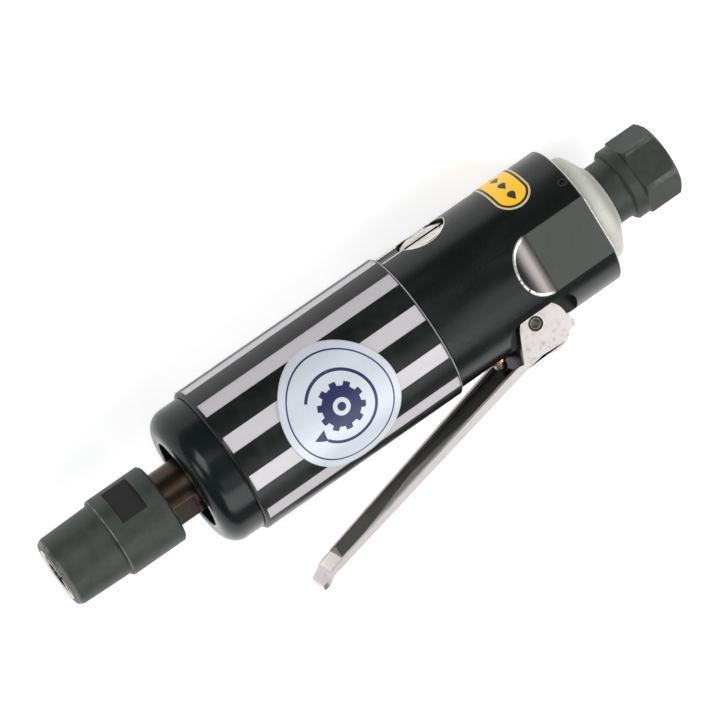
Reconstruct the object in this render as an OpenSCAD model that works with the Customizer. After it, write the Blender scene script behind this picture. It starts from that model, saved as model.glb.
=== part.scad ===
// Pneumatic die grinder, 1/4 in collet, lever throttle, rear exhaust.
// Millimetres. The origin is the centre of the collet's mouth. +X points out of the collet,
// +Y is the lever's side, and +Z is the side with the round label.
// Most pieces are turned parts, so they are drawn along "stations": the distance
// behind the collet's mouth. stations() lays that drawing down along -X.

/* [Collet and nut] */
// Radius of the shank that the collet grips
shank_r = 3.175; // [3:0.005:3.3]
// Length of the collet
collet_len = 22; // [20:0.5:23]
// Length of the collet nut
nut_len = 28.7; // [27:0.1:29]
// Radius of the nut's front barrel where it meets the step
nut_front_r = 9.05; // [8.5:0.05:9.2]
// Radius of the nut's rear barrel
nut_rear_r = 9.9; // [9.4:0.05:10]
// Station of the step between the two barrels
nut_step = 14; // [12:0.5:16]
// Distance across the nut's two spanner slots
nut_slot_af = 17; // [16.6:0.1:17.4]
// Station of the slots' middle
nut_slot_mid = 21; // [19:0.5:22]
// Width of each slot along the nut
nut_slot_w = 6.6; // [5:0.1:7]
// Radius of the nut's bore over the spindle thread
nut_bore_r = 6.98; // [6.97:0.01:7.02]
// Turn of the slots about the axis, from the regulator's side up
nut_slot_turn = 37; // [0:1:90]

/* [Spindle] */
// Radius of the threaded nose
nose_r = 6.9; // [6.85:0.01:6.92]
// Radius of the bare collar between nut and cap
collar_r = 6.85; // [6.7:0.01:6.88]
// Distance across the collar's spanner flats
collar_af = 12; // [11.5:0.1:12.5]
// Turn of the collar's flats about the axis, from the regulator's side up
collar_flat_turn = 127; // [0:1:180]

/* [Motor] */
// Radius of the rotor
rotor_r = 10.2; // [10:0.05:10.3]
// Bore radius of the cylinder
cylinder_bore_r = 11.5; // [11.45:0.01:11.6]
// How far the cylinder's bore sits off the axis
cylinder_offset = 1.25; // [1.1:0.01:1.25]
// Number of vanes
vane_count = 5; // [4:1:6]
// Thickness of a vane
vane_t = 1.5; // [1.2:0.1:1.6]

/* [Housing] */
// Outer radius behind the grip
housing_r = 17.45; // [17.3:0.05:17.8]
// Outer radius under the grip sleeve
housing_grip_r = 16.8; // [16.7:0.05:16.9]
// Bore radius that holds the motor
motor_bore_r = 14.5; // [14.5:0.01:14.55]
// Station of the housing's front face
housing_front = 44.7; // [44.5:0.1:45]
// Station of the housing's rear face
housing_rear = 144.2; // [144:0.1:145]
// Distance across the spanner flats at the rear
housing_af = 31.5; // [31:0.1:32.5]
// Station where the spanner flats start
housing_flat_start = 128.2; // [127:0.1:130]
// Radius of the cutter that left the flats' curved ends
flat_cutter_r = 14; // [12:0.5:16]

/* [Front cap] */
// Outer radius
cap_r = 17.35; // [17.2:0.05:17.45]
// Station of the front face
cap_front = 35.4; // [35:0.1:36]
// Radius of the rounded shoulder
cap_round_r = 4.55; // [4:0.05:5]
// Radius of the recess round the spindle
cap_recess_r = 11.1; // [10.5:0.1:11.5]

/* [Grip sleeve] */
// Outer radius
sleeve_r = 18.4; // [18.2:0.05:18.6]
// Station of the rear end
sleeve_rear = 99; // [98.5:0.1:99]
// Number of bright milled flutes
flute_count = 11; // [10:1:12]
// Width of a flute
flute_w = 3.9; // [3:0.1:4.5]
// Depth of a flute at its edges
flute_depth = 0.25; // [0.15:0.05:0.4]

/* [Valve and regulator] */
// Station of the cross bore that holds both
valve_s = 110.8; // [110:0.1:112]
// Radius of the throttle pin
pin_r = 1.5; // [1.4:0.05:1.6]
// Height of the pin's tip above the axis, valve shut
pin_tip_y = 20.85; // [20:0.05:20.9]
// Outer radius of the brass bush
bush_r = 2.62; // [2.5:0.01:2.64]
// Radius of the regulator's barrel
regulator_r = 5.44; // [5.4:0.01:5.46]
// Radius of the regulator's head
regulator_head_r = 5.85; // [5.7:0.05:6]

/* [Throttle lever] */
// Station of the pivot
pivot_s = 121.3; // [121:0.1:122]
// Height of the pivot above the axis
pivot_y = 13.5; // [13:0.1:14]
// Radius of the pivot pin
pivot_r = 1.75; // [1.6:0.05:1.8]
// Thickness of the sheet
sheet_t = 1.2; // [1:0.1:1.5]
// Half the distance over the two ears
lever_half_w = 7.5; // [7.3:0.1:7.6]
// Half width at the tip
lever_tip_half_w = 5.5; // [5:0.1:6]
// Station of the tip
lever_tip_s = 48.4; // [46:0.1:52]

/* [Exhaust and inlet] */
// Radius of the deflector's drum
deflector_r = 13.5; // [13.3:0.05:13.6]
// Station of the deflector's rear end
deflector_rear = 150.9; // [150.5:0.1:151.5]
// Radius of the inlet's neck
neck_r = 7.55; // [7.4:0.05:7.6]
// Station of the shoulder behind the neck
neck_rear = 155.5; // [155:0.1:156]
// Distance across the inlet's hexagon
inlet_af = 17; // [16.5:0.1:17.5]
// Radius of the inlet's round collar
inlet_collar_r = 9; // [8.8:0.05:9.2]
// Station of the inlet's rear face
inlet_rear = 168; // [167:0.5:169]
// Tapping radius of the inlet's thread
inlet_bore_r = 5.7; // [5.6:0.05:5.9]
// Depth of the inlet's thread
inlet_thread_len = 12; // [11:0.5:12]

/* [Labels] */
// Radius of the round label
round_label_r = 14.3; // [13:0.1:16]
// Station of the round label's middle
round_label_s = 71.8; // [65:0.1:78]
// Station of the oil label's middle
oil_label_s = 131.8; // [130:0.1:133]
// Width of the oil label along the tool
oil_label_w = 9.1; // [8:0.1:10]
// How far the oil label wraps each way from the regulator's side
oil_label_half_turn = 44; // [30:1:50]

/* [Hidden] */
$fn = 96;
fit = 0.05;
cut = 1;
// Collet and spindle
collet_nose_r = 4.85;
collet_nose_len = 2.25;
collet_belly_r = 5.7;
collet_belly = 3.7;
collet_taper_start = 6;
collet_taper_r = 5.5;
collet_tail_r = 4.4;
collet_slit_w = 0.7;
nose_front = 6.5;
nose_rear = 24;
shank_way_r = 3.6;
stud_front = 31.5;
stud_r = 4.72;
collar_rear = 41;
hub_r = 6.5;
flat_front = 29.2;
flat_rear = 34.8;
// Motor stack, front to rear
bearing_front = 51.4;
front_bearing_w = 6;
front_plate_rear = 59.4;
cylinder_rear = 89.4;
rear_plate_rear = 97.4;
rear_bearing_w = 6;
rear_bearing_front = rear_plate_rear - rear_bearing_w;
gasket_rear = 98.2;
stack_r = motor_bore_r - fit;
dowel_r = 1;
dowel_place_r = 12.6;
vane_len = cylinder_rear - front_plate_rear - 0.3;
vane_slot_floor = 4.6;
vane_h = 5.2;
// Front bearing 10 x 22 x 6, rear bearing 8 x 19 x 6: bore, inner race, ball circle, ball, outer race
front_bearing = [5, 6.75, 8.05, 1.58, 9.4, 11];
rear_bearing = [4, 5.4, 6.75, 1.5, 8.1, 9.5];
front_ball_count = 11;
rear_ball_count = 10;
front_bearing_mid = bearing_front + front_bearing_w / 2;
rear_bearing_mid = rear_bearing_front + rear_bearing_w / 2;
// Cap
cap_thread_r = 15.45;
cap_thread_rear = 50.6;
cap_cavity_r = 12;
cap_cavity_front = 42.4;
shield_front = 38.5;
shield_t = 0.8;
seal_front = 39.6;
seal_rear = 42.2;
seal_pocket_r = 9.5;
// Housing passages
inlet_way_r = 7.06;
inlet_way_front = 122;
feed_r = 2.6;
feed_y = -4.5;
motor_feed_r = 2;
motor_feed_y = 4.6;
exhaust_r = 1.35;
exhaust_place_r = 12.1;
exhaust_turns = [-28, 0, 28];
chamber_front = 136;
chamber_inner_r = 9;
chamber_outer_r = 13.6;
pocket_front = 113;
pocket_rear = 131.5;
pocket_floor_y = 9.3;
pocket_corner_r = 4;
pocket_wall_z = 5.8;
lock_screw_s = 142.4;
lock_screw_r = 1.25;
lock_screw_turn = 46.4;
// Valve
cross_bore_floor = 1.2;
chamber_r = 3.6;
chamber_top = 8.9;
bush_top = 18.1;
seat_hole_r = 2.7;
seat_t = 1.2;
valve_head_r = 4;
valve_head_t = 1.7;
spotface_r = 6.3;
spotface_y = -15.2;
scallop_r = 7.5;
scallop_depth = 0.7;
regulator_face_y = -16.35;
regulator_floor_y = -13;
regulator_wall = 1.2;
spring_r = 2.6;
spring_wire_r = 0.35;
spring_turns = 8;
regulator_pin_r = 0.8;
regulator_pin_offset = 5.6;
regulator_pin_end = 13.2;
regulator_groove_y = -9.5;
regulator_groove_depth = 0.7;
regulator_seal_y = -12.2;
// Lever outline in stations and height
lever_rear = [129.1, 19.1];
lever_knee = [114, 21.4];
lever_curl = [52.6, 35.7];
lever_tip = [lever_tip_s, 37.9];
ear_mid = [122.6, 15.7];
ear_r = 6;
ear_foot = [114.1, 20];
ear_shoulder = [117.1, 13.2];
ear_in = 6;
// Deflector and inlet
skirt_front = 141;
deflector_wall = 1.2;
lip_front = 149.2;
washer_front = 146.6;
washer_rear = 147.8;
washer_r = 9.6;
inlet_thread_r = 7;
inlet_front = 124;
inlet_way_inner_r = 4;
collar_len = 3.2;
thread_lead = 0.8;
screen_r = 5.2;
screen_t = 0.5;
slot_count = 5;

// Lays a drawing made along +Z down along -X, so that its own +X points up.
module stations() { rotate([0, -90, 0]) children(); }

// A turned piece from [radius, station] points.
module turned(points) { stations() rotate_extrude() polygon(points); }

// A plain ring between two stations.
module ring(outer, inner, from, to) {
    turned([[inner, from], [outer, from], [outer, to], [inner, to]]);
}

// Turns children about the axis: 0 points at the regulator's side (-Y), 90 up (+Z).
module around(angle) { rotate([-angle, 0, 0]) children(); }

// A round bar along the axis between two stations, at a radius in the -Y direction.
module bar_along(r, from, to, at = 0) {
    translate([-from, -at, 0]) rotate([0, -90, 0]) cylinder(r = r, h = to - from);
}

// A round bar along Y between two heights, on the valve's cross bore.
module valve_bar(r, from, to) {
    translate([-valve_s, from, 0]) rotate([-90, 0, 0]) cylinder(r = r, h = to - from);
}

// A torus round the tool's axis.
module o_ring_on_axis(ring_r, wire_r, at) {
    stations() translate([0, 0, at]) rotate_extrude() translate([ring_r, 0]) circle(wire_r, $fn = 32);
}

// A torus round the valve's cross bore.
module o_ring_on_valve(ring_r, wire_r, y) {
    translate([-valve_s, y, 0]) rotate([90, 0, 0])
        rotate_extrude() translate([ring_r, 0]) circle(wire_r, $fn = 32);
}

// Two parallel flats: what is left of a bar between stations, across a distance, at a turn.
module two_flats(af, from, to, turn) {
    around(turn) for (side = [-1, 1])
        translate([-to, side > 0 ? af / 2 : -af / 2 - 10, -20]) cube([to - from, 10, 40]);
}

// ---------- spindle group ----------

module collet_nut() {
    color([0.20, 0.22, 0.20]) difference() {
        turned([[6.2, 0], [7.3, 0], [8.3, 0.4], [8.8, 1.5], [nut_front_r, nut_step - 0.1],
            [nut_rear_r - 0.35, nut_step], [nut_rear_r, nut_step + 0.4], [nut_rear_r, nut_len - 0.5],
            [nut_rear_r - 0.5, nut_len], [nut_bore_r, nut_len], [nut_bore_r, 4.6],
            [collet_belly_r + fit, 4.6], [collet_belly_r + fit, collet_belly - fit],
            [collet_nose_r + 0.15, collet_nose_len + 0.1], [collet_nose_r + 0.15, 1.1]]);
        two_flats(nut_slot_af, nut_slot_mid - nut_slot_w / 2, nut_slot_mid + nut_slot_w / 2, nut_slot_turn);
    }
}

module collet() {
    color([0.55, 0.54, 0.52]) difference() {
        turned([[shank_r, 0], [collet_nose_r - 0.25, 0], [collet_nose_r, 0.25],
            [collet_nose_r, collet_nose_len], [collet_belly_r, collet_belly],
            [collet_belly_r, 4.4], [collet_taper_r - 0.5, 4.8], [collet_taper_r - 0.5, 5.6],
            [collet_taper_r, collet_taper_start], [collet_tail_r, collet_len],
            [shank_r, collet_len]]);
        for (a = [0, 90]) around(a) {
            translate([-18, -10, -collet_slit_w / 2]) cube([18 + cut, 20, collet_slit_w]);
        }
        for (a = [45, 135]) around(a) {
            translate([-collet_len - cut, -10, -collet_slit_w / 2])
                cube([collet_len + cut - 7, 20, collet_slit_w]);
        }
    }
}

// Radius of the collet's seat in the spindle at a station.
function seat_r(s) = collet_taper_r + 0.03
    - (s - collet_taper_start) * (collet_taper_r - collet_tail_r) / (collet_len - collet_taper_start);

module spindle_body() {
    color([0.24, 0.21, 0.19]) difference() {
        turned([[seat_r(nose_front), nose_front], [nose_r - 0.5, nose_front], [nose_r, nose_front + 0.5],
            [nose_r, nose_rear], [nose_r - 0.4, nose_rear + 0.4], [nose_r - 0.4, nose_rear + 1.4],
            [collar_r, nose_rear + 1.8], [collar_r, collar_rear], [hub_r, collar_rear + 0.3],
            [hub_r, bearing_front - fit], [stud_r + 0.03, bearing_front - fit],
            [stud_r + 0.03, stud_front - 0.4], [shank_way_r, stud_front - 0.4],
            [shank_way_r, collet_len + 0.6], [seat_r(collet_len), collet_len + 0.6]]);
        two_flats(collar_af, flat_front, flat_rear, collar_flat_turn);
    }
}

module rotor() {
    color([0.62, 0.62, 0.60]) difference() {
        turned([[0, stud_front], [stud_r - 0.5, stud_front], [stud_r, stud_front + 0.5],
            [stud_r, bearing_front], [front_bearing[0] - 0.01, bearing_front],
            [front_bearing[0] - 0.01, bearing_front + front_bearing_w],
            [6.1, bearing_front + front_bearing_w], [6.1, front_plate_rear + fit],
            [rotor_r, front_plate_rear + fit], [rotor_r, cylinder_rear - fit],
            [5.2, cylinder_rear - fit], [5.2, rear_bearing_front],
            [rear_bearing[0] - 0.01, rear_bearing_front], [rear_bearing[0] - 0.01, 97.1],
            [rear_bearing[0] - 0.4, 97.5], [0, 97.5]]);
        for (i = [0:vane_count - 1]) around(i * 360 / vane_count)
            translate([-cylinder_rear, -rotor_r - cut, -vane_t / 2 - fit])
                cube([cylinder_rear - front_plate_rear, rotor_r + cut - vane_slot_floor, vane_t + 2 * fit]);
    }
}

module vanes() {
    color([0.45, 0.30, 0.16]) for (i = [0:vane_count - 1]) around(i * 360 / vane_count)
        translate([-cylinder_rear + 0.15, -vane_slot_floor - 0.2 - vane_h, -vane_t / 2])
            cube([vane_len, vane_h, vane_t]);
}

// ---------- bearings ----------

// A race between two radii, with the groove that the balls run in.
module race(bearing, r_in, r_out, from, width) {
    color([0.70, 0.70, 0.70]) stations() translate([0, 0, from]) rotate_extrude() difference() {
        translate([r_in, 0]) square([r_out - r_in, width]);
        translate([bearing[2], width / 2]) circle(bearing[3] + 0.03, $fn = 48);
    }
}

module inner_race(bearing, from, width) { race(bearing, bearing[0], bearing[1], from, width); }

module outer_race(bearing, from, width) { race(bearing, bearing[4], bearing[5] - 0.01, from, width); }

module balls(bearing, count, at) {
    color([0.80, 0.80, 0.80]) for (i = [0:count - 1]) around(i * 360 / count)
        translate([-at, -bearing[2], 0]) sphere(bearing[3], $fn = 32);
}

module cage(bearing, count, at) {
    half_t = 0.45;
    half_w = bearing[3] + 0.6;
    color([0.60, 0.50, 0.30]) difference() {
        ring(bearing[2] + half_t, bearing[2] - half_t, at - half_w, at + half_w);
        for (i = [0:count - 1]) around(i * 360 / count) translate([-at, 2 - bearing[2], 0])
            rotate([90, 0, 0]) cylinder(r = bearing[3] + 0.03, h = 4, $fn = 32);
    }
}

// ---------- motor stack ----------

module dowel_hole() { around(90) bar_along(dowel_r + 0.01, 40, 130, dowel_place_r); }

module front_cap() {
    color([0.05, 0.05, 0.05]) stations() rotate_extrude() difference() {
        union() {
            translate([0, cap_front]) square([cap_r - cap_round_r, cap_thread_rear - cap_front]);
            translate([cap_r - cap_round_r, cap_front + cap_round_r]) circle(cap_round_r);
            translate([0, cap_front + cap_round_r]) square([cap_r, housing_front - cap_front - cap_round_r]);
            translate([0, housing_front - cut]) square([cap_thread_r, cap_thread_rear - housing_front + cut]);
        }
        square([collar_r + 0.2, 60]);
        translate([0, cap_front - cut]) square([cap_recess_r, shield_front + shield_t - cap_front + cut]);
        translate([0, seal_front]) square([seal_pocket_r, seal_rear - seal_front + 0.3]);
        translate([0, cap_cavity_front]) square([cap_cavity_r, 20]);
        translate([cap_thread_r, housing_front + cap_round_r / 2]) square([10, 20]);
    }
}

module dust_shield() {
    color([0.12, 0.12, 0.12])
        ring(cap_recess_r - 0.01, collar_r + 0.06, shield_front, shield_front + shield_t);
}

module felt_seal() {
    color([0.75, 0.72, 0.65])
        ring(seal_pocket_r - 0.02, collar_r + 0.06, seal_front + 0.02, collar_rear - 0.1);
}

module wave_washer() {
    color([0.6, 0.6, 0.6]) ring(14.2, 11.6, cap_thread_rear + 0.02, bearing_front - 0.02);
}

module front_end_plate() {
    color([0.5, 0.5, 0.5]) difference() {
        turned([[front_bearing[5], bearing_front], [stack_r - 0.4, bearing_front],
            [stack_r, bearing_front + 0.4], [stack_r, front_plate_rear], [6.4, front_plate_rear],
            [6.4, bearing_front + front_bearing_w], [front_bearing[5], bearing_front + front_bearing_w]]);
        dowel_hole();
    }
}

module cylinder_bore_cut() {
    translate([0, 0, -cylinder_offset])
        bar_along(cylinder_bore_r, front_plate_rear - cut, cylinder_rear + cut);
}

module cylinder_liner() {
    color([0.45, 0.45, 0.44]) difference() {
        bar_along(stack_r, front_plate_rear, cylinder_rear);
        cylinder_bore_cut();
        dowel_hole();
        // exhaust ports, two rows through the thin wall
        for (s = [66:5.5:83], a = [-112, -68]) around(a) translate([-s, -20, 0])
            rotate([-90, 0, 0]) cylinder(r = 1.5, h = 12, $fn = 32);
    }
}

module rear_end_plate() {
    color([0.5, 0.5, 0.5]) difference() {
        turned([[5.6, cylinder_rear], [stack_r, cylinder_rear], [stack_r, rear_plate_rear],
            [rear_bearing[5], rear_plate_rear], [rear_bearing[5], rear_bearing_front],
            [5.6, rear_bearing_front]]);
        dowel_hole();
        // air ports beside the bearing pocket, and notches for the exhaust
        for (a = [160, 200]) around(a) bar_along(1.1, cylinder_rear - cut, rear_plate_rear + cut, 11);
        for (a = exhaust_turns) around(a - 90)
            bar_along(exhaust_r, cylinder_rear - cut, rear_plate_rear + cut, exhaust_place_r + 1.6);
    }
}

module cylinder_dowel() {
    color([0.7, 0.7, 0.7]) around(90) bar_along(dowel_r, bearing_front + 2, gasket_rear + 1, dowel_place_r);
}

module gasket() {
    color([0.35, 0.45, 0.40]) difference() {
        ring(stack_r, 5, rear_plate_rear, gasket_rear);
        dowel_hole();
        for (a = [160, 200]) around(a) bar_along(1.4, rear_plate_rear - cut, gasket_rear + cut, 11);
        for (a = exhaust_turns) around(a - 90)
            bar_along(exhaust_r, rear_plate_rear - cut, gasket_rear + cut, exhaust_place_r + 1.6);
    }
}

// ---------- housing ----------

module lever_pocket() {
    translate([0, 0, pocket_wall_z]) linear_extrude(20) {
        translate([-pocket_rear, pocket_floor_y + pocket_corner_r]) square([pocket_rear - pocket_front, 20]);
        translate([-pocket_rear + pocket_corner_r, pocket_floor_y])
            square([pocket_rear - pocket_front - 2 * pocket_corner_r, 20]);
        for (s = [pocket_front + pocket_corner_r, pocket_rear - pocket_corner_r])
            translate([-s, pocket_floor_y + pocket_corner_r]) circle(pocket_corner_r);
    }
}

module spanner_flat() {
    translate([-housing_rear - cut, -20, housing_af / 2])
        cube([housing_rear - housing_flat_start + cut, 40, 10]);
    translate([-housing_flat_start, 20, housing_af / 2 + flat_cutter_r])
        rotate([90, 0, 0]) cylinder(r = flat_cutter_r, h = 40, $fn = 128);
}

module housing() {
    color([0.07, 0.075, 0.07]) difference() {
        turned([[0, housing_front], [housing_grip_r, housing_front], [housing_grip_r, sleeve_rear + 0.05],
            [housing_r - 0.3, sleeve_rear + 0.05], [housing_r, sleeve_rear + 0.35],
            [housing_r, housing_rear - 0.5], [housing_r - 0.5, housing_rear], [0, housing_rear]]);
        // motor bore, wider where the cap screws in
        bar_along(motor_bore_r, housing_front - cut, gasket_rear);
        bar_along(cap_thread_r + fit, housing_front - cut, cap_thread_rear + 0.2);
        // rear counterbore for the exhaust, round the inlet's hub
        difference() {
            bar_along(chamber_outer_r, chamber_front, housing_rear + cut);
            bar_along(chamber_inner_r, chamber_front - cut, housing_rear + 2 * cut);
        }
        bar_along(inlet_way_r, inlet_way_front, housing_rear + cut);
        for (a = exhaust_turns) around(a - 90)
            bar_along(exhaust_r, gasket_rear - cut, chamber_front + cut, exhaust_place_r);
        around(90) bar_along(dowel_r + 0.01, gasket_rear - cut, gasket_rear + 1.2, dowel_place_r);
        // exhaust groove along the motor bore
        around(-90) translate([-gasket_rear, -15.5, -6]) cube([gasket_rear - 62, 15.5, 12]);
        // valve's cross bore and the two passages that meet it
        valve_bar(regulator_r + 0.06, -30, cross_bore_floor);
        valve_bar(chamber_r, 0, chamber_top);
        valve_bar(bush_r + 0.01, 0, 30);
        bar_along(feed_r, valve_s, inlet_way_front + 2, -feed_y);
        bar_along(motor_feed_r, gasket_rear - cut, valve_s, -motor_feed_y);
        // spotface round the regulator and the scallop that leads to it
        valve_bar(spotface_r, -30, spotface_y);
        bar_along(scallop_r, sleeve_rear - cut, valve_s, housing_r + scallop_r - scallop_depth);
        translate([-valve_s + regulator_pin_offset, regulator_groove_y, -20])
            cylinder(r = regulator_pin_r + 0.01, h = 23, $fn = 32);
        // lever pockets, pivot hole, spanner flats, lock screw
        lever_pocket();
        mirror([0, 0, 1]) lever_pocket();
        translate([-pivot_s, pivot_y, -20]) cylinder(r = pivot_r - 0.01, h = 40);
        spanner_flat();
        mirror([0, 0, 1]) spanner_flat();
        around(lock_screw_turn) translate([-lock_screw_s, 0, 0]) rotate([90, 0, 0])
            cylinder(r = lock_screw_r + 0.02, h = 30);
    }
}

module grip_sleeve() {
    color([0.09, 0.09, 0.09]) difference() {
        turned([[housing_grip_r + 0.01, housing_front], [sleeve_r - 0.5, housing_front],
            [sleeve_r, housing_front + 0.5], [sleeve_r, sleeve_rear - 0.5],
            [sleeve_r - 0.5, sleeve_rear], [housing_grip_r + 0.01, sleeve_rear]]);
        for (i = [0:flute_count - 1]) around(2 + i * 360 / flute_count)
            translate([-sleeve_rear + 0.8, -sleeve_r - cut, -flute_w / 2])
                cube([sleeve_rear - housing_front - 2, cut + flute_depth, flute_w]);
    }
}

module round_label() {
    color([0.84, 0.86, 0.90]) intersection() {
        ring(sleeve_r + 0.15, sleeve_r, 40, 110);
        translate([-round_label_s, 0, 0]) cylinder(r = round_label_r, h = 30);
    }
}

module oil_label() {
    turn = oil_label_half_turn - (oil_label_w / 2) * 180 / (PI * housing_r);
    color([0.95, 0.70, 0.12]) intersection() {
        ring(housing_r + 0.12, housing_r, 120, 140);
        union() {
            for (side = [-1, 1]) around(side * turn) translate([-oil_label_s, 0, 0])
                rotate([90, 0, 0]) cylinder(r = oil_label_w / 2, h = 30);
            intersection() {
                translate([-oil_label_s - oil_label_w / 2, -30, -30]) cube([oil_label_w, 30, 60]);
                around(turn) translate([-200, -40, -40]) cube([200, 80, 40]);
                around(-turn) translate([-200, -40, 0]) cube([200, 80, 40]);
            }
        }
    }
}

// ---------- lever and valve ----------

// The web's outline from the side: a band one sheet thick along the lever's back.
module web_side() {
    polygon([for (p = [lever_rear, lever_knee, lever_curl, lever_tip]) [-p[0], p[1]],
        for (p = [lever_tip, lever_curl, lever_knee, lever_rear]) [-p[0] - 0.25, p[1] - sheet_t * 1.03]]);
}

// The ear's outline, with the shallow flange that runs on from it towards the tip.
module ear_side() {
    translate([-ear_mid[0], ear_mid[1]]) circle(ear_r);
    polygon([[-lever_rear[0], lever_rear[1]], [-lever_rear[0], ear_mid[1]], [-ear_mid[0], ear_mid[1]],
        [-ear_shoulder[0], ear_shoulder[1]], [-ear_foot[0], ear_foot[1]], [-lever_knee[0], lever_knee[1]]]);
    polygon([[-ear_foot[0] - 1, 20.4], [-112.5, 19.7], [-lever_curl[0] - 3, 33.5],
        [-lever_curl[0] - 3, 34.6], [-lever_knee[0], lever_knee[1]]]);
}

module lever_plan() {
    polygon([[-135, -lever_half_w], [-112, -lever_half_w], [-lever_curl[0], -lever_tip_half_w],
        [-lever_tip_s - 2.5, -lever_tip_half_w], [-lever_tip_s + 1, -lever_tip_half_w + 2.6],
        [-lever_tip_s + 1, lever_tip_half_w - 2.6], [-lever_tip_s - 2.5, lever_tip_half_w],
        [-lever_curl[0], lever_tip_half_w], [-112, lever_half_w], [-135, lever_half_w]]);
}

module channel_plan() {
    wall = lever_half_w - ear_in;
    polygon([[-135, -ear_in], [-112, -ear_in], [-lever_curl[0] - 3, -lever_tip_half_w - 0.2 + wall * 0.8],
        [-lever_curl[0] - 3, lever_tip_half_w + 0.2 - wall * 0.8], [-112, ear_in], [-135, ear_in]]);
}

// Carries a drawing from the side across the lever, and one from above through it.
module from_side() { translate([0, 0, -10]) linear_extrude(20) children(); }
module from_above() { rotate([-90, 0, 0]) linear_extrude(60) children(); }

module throttle_lever() {
    color([0.74, 0.71, 0.70]) difference() {
        union() {
            intersection() {
                from_side() web_side();
                from_above() lever_plan();
            }
            intersection() {
                from_side() ear_side();
                from_above() difference() { lever_plan(); channel_plan(); }
            }
        }
        translate([-pivot_s, pivot_y, -20]) cylinder(r = pivot_r + fit, h = 40);
    }
}

module pivot_pin() {
    color([0.72, 0.70, 0.68]) translate([-pivot_s, pivot_y, 0]) difference() {
        translate([0, 0, -lever_half_w + 0.2]) cylinder(r = pivot_r, h = 2 * lever_half_w - 0.4);
        translate([0, 0, -20]) cylinder(r = pivot_r - 0.6, h = 40);
    }
}

module throttle_pin() {
    color([0.78, 0.78, 0.76]) {
        valve_bar(pin_r, seat_t + fit, pin_tip_y - pin_r);
        translate([-valve_s, pin_tip_y - pin_r, 0]) sphere(pin_r);
        valve_bar(pin_r - 0.3, -valve_head_t + 0.3, seat_t + 2 * fit);
    }
}

module valve_head() {
    color([0.15, 0.15, 0.15]) difference() {
        valve_bar(valve_head_r, -valve_head_t, -fit);
        valve_bar(pin_r - 0.3, -valve_head_t + 0.3, cut);
    }
}

module pin_bush() {
    color([0.80, 0.50, 0.25]) difference() {
        union() {
            valve_bar(bush_r, chamber_top, bush_top - 0.3);
            valve_bar(bush_r - 0.2, chamber_top, bush_top);
        }
        valve_bar(pin_r + fit, 0, 30);
    }
}

module pin_o_ring() {
    color([0.08, 0.08, 0.08]) o_ring_on_valve(pin_r + fit + 0.5, 0.5, chamber_top - 0.55);
}

module valve_seat() {
    color([0.85, 0.82, 0.70]) difference() {
        valve_bar(regulator_r, 0, seat_t);
        valve_bar(seat_hole_r, -cut, seat_t + cut);
    }
}

// A coil spring: rings of eight points carried round a helix, closed at both ends.
module valve_spring() {
    sides = 8;
    steps = spring_turns * 20;
    low = regulator_floor_y + spring_wire_r + 0.02;
    high = -valve_head_t - spring_wire_r - 0.05;
    points = [for (i = [0:steps]) let (a = i * 360 / 20, y = low + (high - low) * i / steps)
        for (k = [0:sides - 1]) let (b = k * 360 / sides, r = spring_r + spring_wire_r * cos(b))
            [-valve_s + r * cos(a), y + spring_wire_r * sin(b), r * sin(a)]];
    faces = concat([[for (k = [0:sides - 1]) k]],
        [[for (k = [sides - 1:-1:0]) steps * sides + k]],
        [for (i = [0:steps - 1], k = [0:sides - 1]) let (j = (k + 1) % sides)
            [i * sides + k, (i + 1) * sides + k, (i + 1) * sides + j, i * sides + j]]);
    color([0.7, 0.7, 0.7]) polyhedron(points, faces);
}

// A groove round the regulator's barrel: its middle, half its width, and its depth.
module regulator_groove(y, half_w, depth) {
    difference() {
        valve_bar(regulator_r + 1, y - half_w, y + half_w);
        valve_bar(regulator_r - depth, -30, 10);
    }
}

module regulator() {
    inner = regulator_r - regulator_wall;
    color([0.74, 0.73, 0.70]) difference() {
        union() {
            valve_bar(regulator_r, spotface_y - fit, -fit);
            valve_bar(regulator_head_r, regulator_face_y, spotface_y - fit);
        }
        valve_bar(inner, regulator_floor_y, 5);
        // window that meets the air passage
        translate([-valve_s, -feed_y - 9, 0]) rotate([0, -90, 0]) cylinder(r = 2.4, h = 10);
        // slot for a coin, o-ring groove, and the groove that the cross pin sits in
        translate([-valve_s - 10, regulator_face_y - cut, -0.6]) cube([20, cut + 0.8, 1.2]);
        regulator_groove(regulator_seal_y, 0.75, 0.65);
        regulator_groove(regulator_groove_y, regulator_pin_r + 0.06, regulator_groove_depth);
    }
}

module regulator_o_ring() {
    color([0.08, 0.08, 0.08]) o_ring_on_valve(regulator_r - 0.31, 0.33, regulator_seal_y);
}

module regulator_pin() {
    color([0.7, 0.7, 0.7])
        translate([-valve_s + regulator_pin_offset, regulator_groove_y, -regulator_pin_end])
            cylinder(r = regulator_pin_r, h = regulator_pin_end + 2.7, $fn = 32);
}

// ---------- exhaust and inlet ----------

module exhaust_deflector() {
    color([0.80, 0.80, 0.78]) difference() {
        turned([[deflector_r - 0.12 - deflector_wall, skirt_front], [deflector_r - 0.12, skirt_front],
            [deflector_r - 0.12, housing_rear + 0.1], [deflector_r, housing_rear + 0.1],
            [deflector_r, 147], [13.1, 147.8], [12.2, 148.5], [10.8, 149.3], [9.2, 150.1], [8.3, 150.7],
            [neck_r + 0.35, deflector_rear], [neck_r + 0.07, deflector_rear], [neck_r + 0.07, lip_front],
            [8.4, lip_front - 0.7], [10.8, 147.9], [11.9, 147], [deflector_r - 0.12 - deflector_wall, 146]]);
        for (i = [0:slot_count - 1]) around(-90 + (i - (slot_count - 1) / 2) * 26)
            translate([-147, -20, -1.6]) cube([2.2, 12, 3.2]);
    }
}

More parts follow.
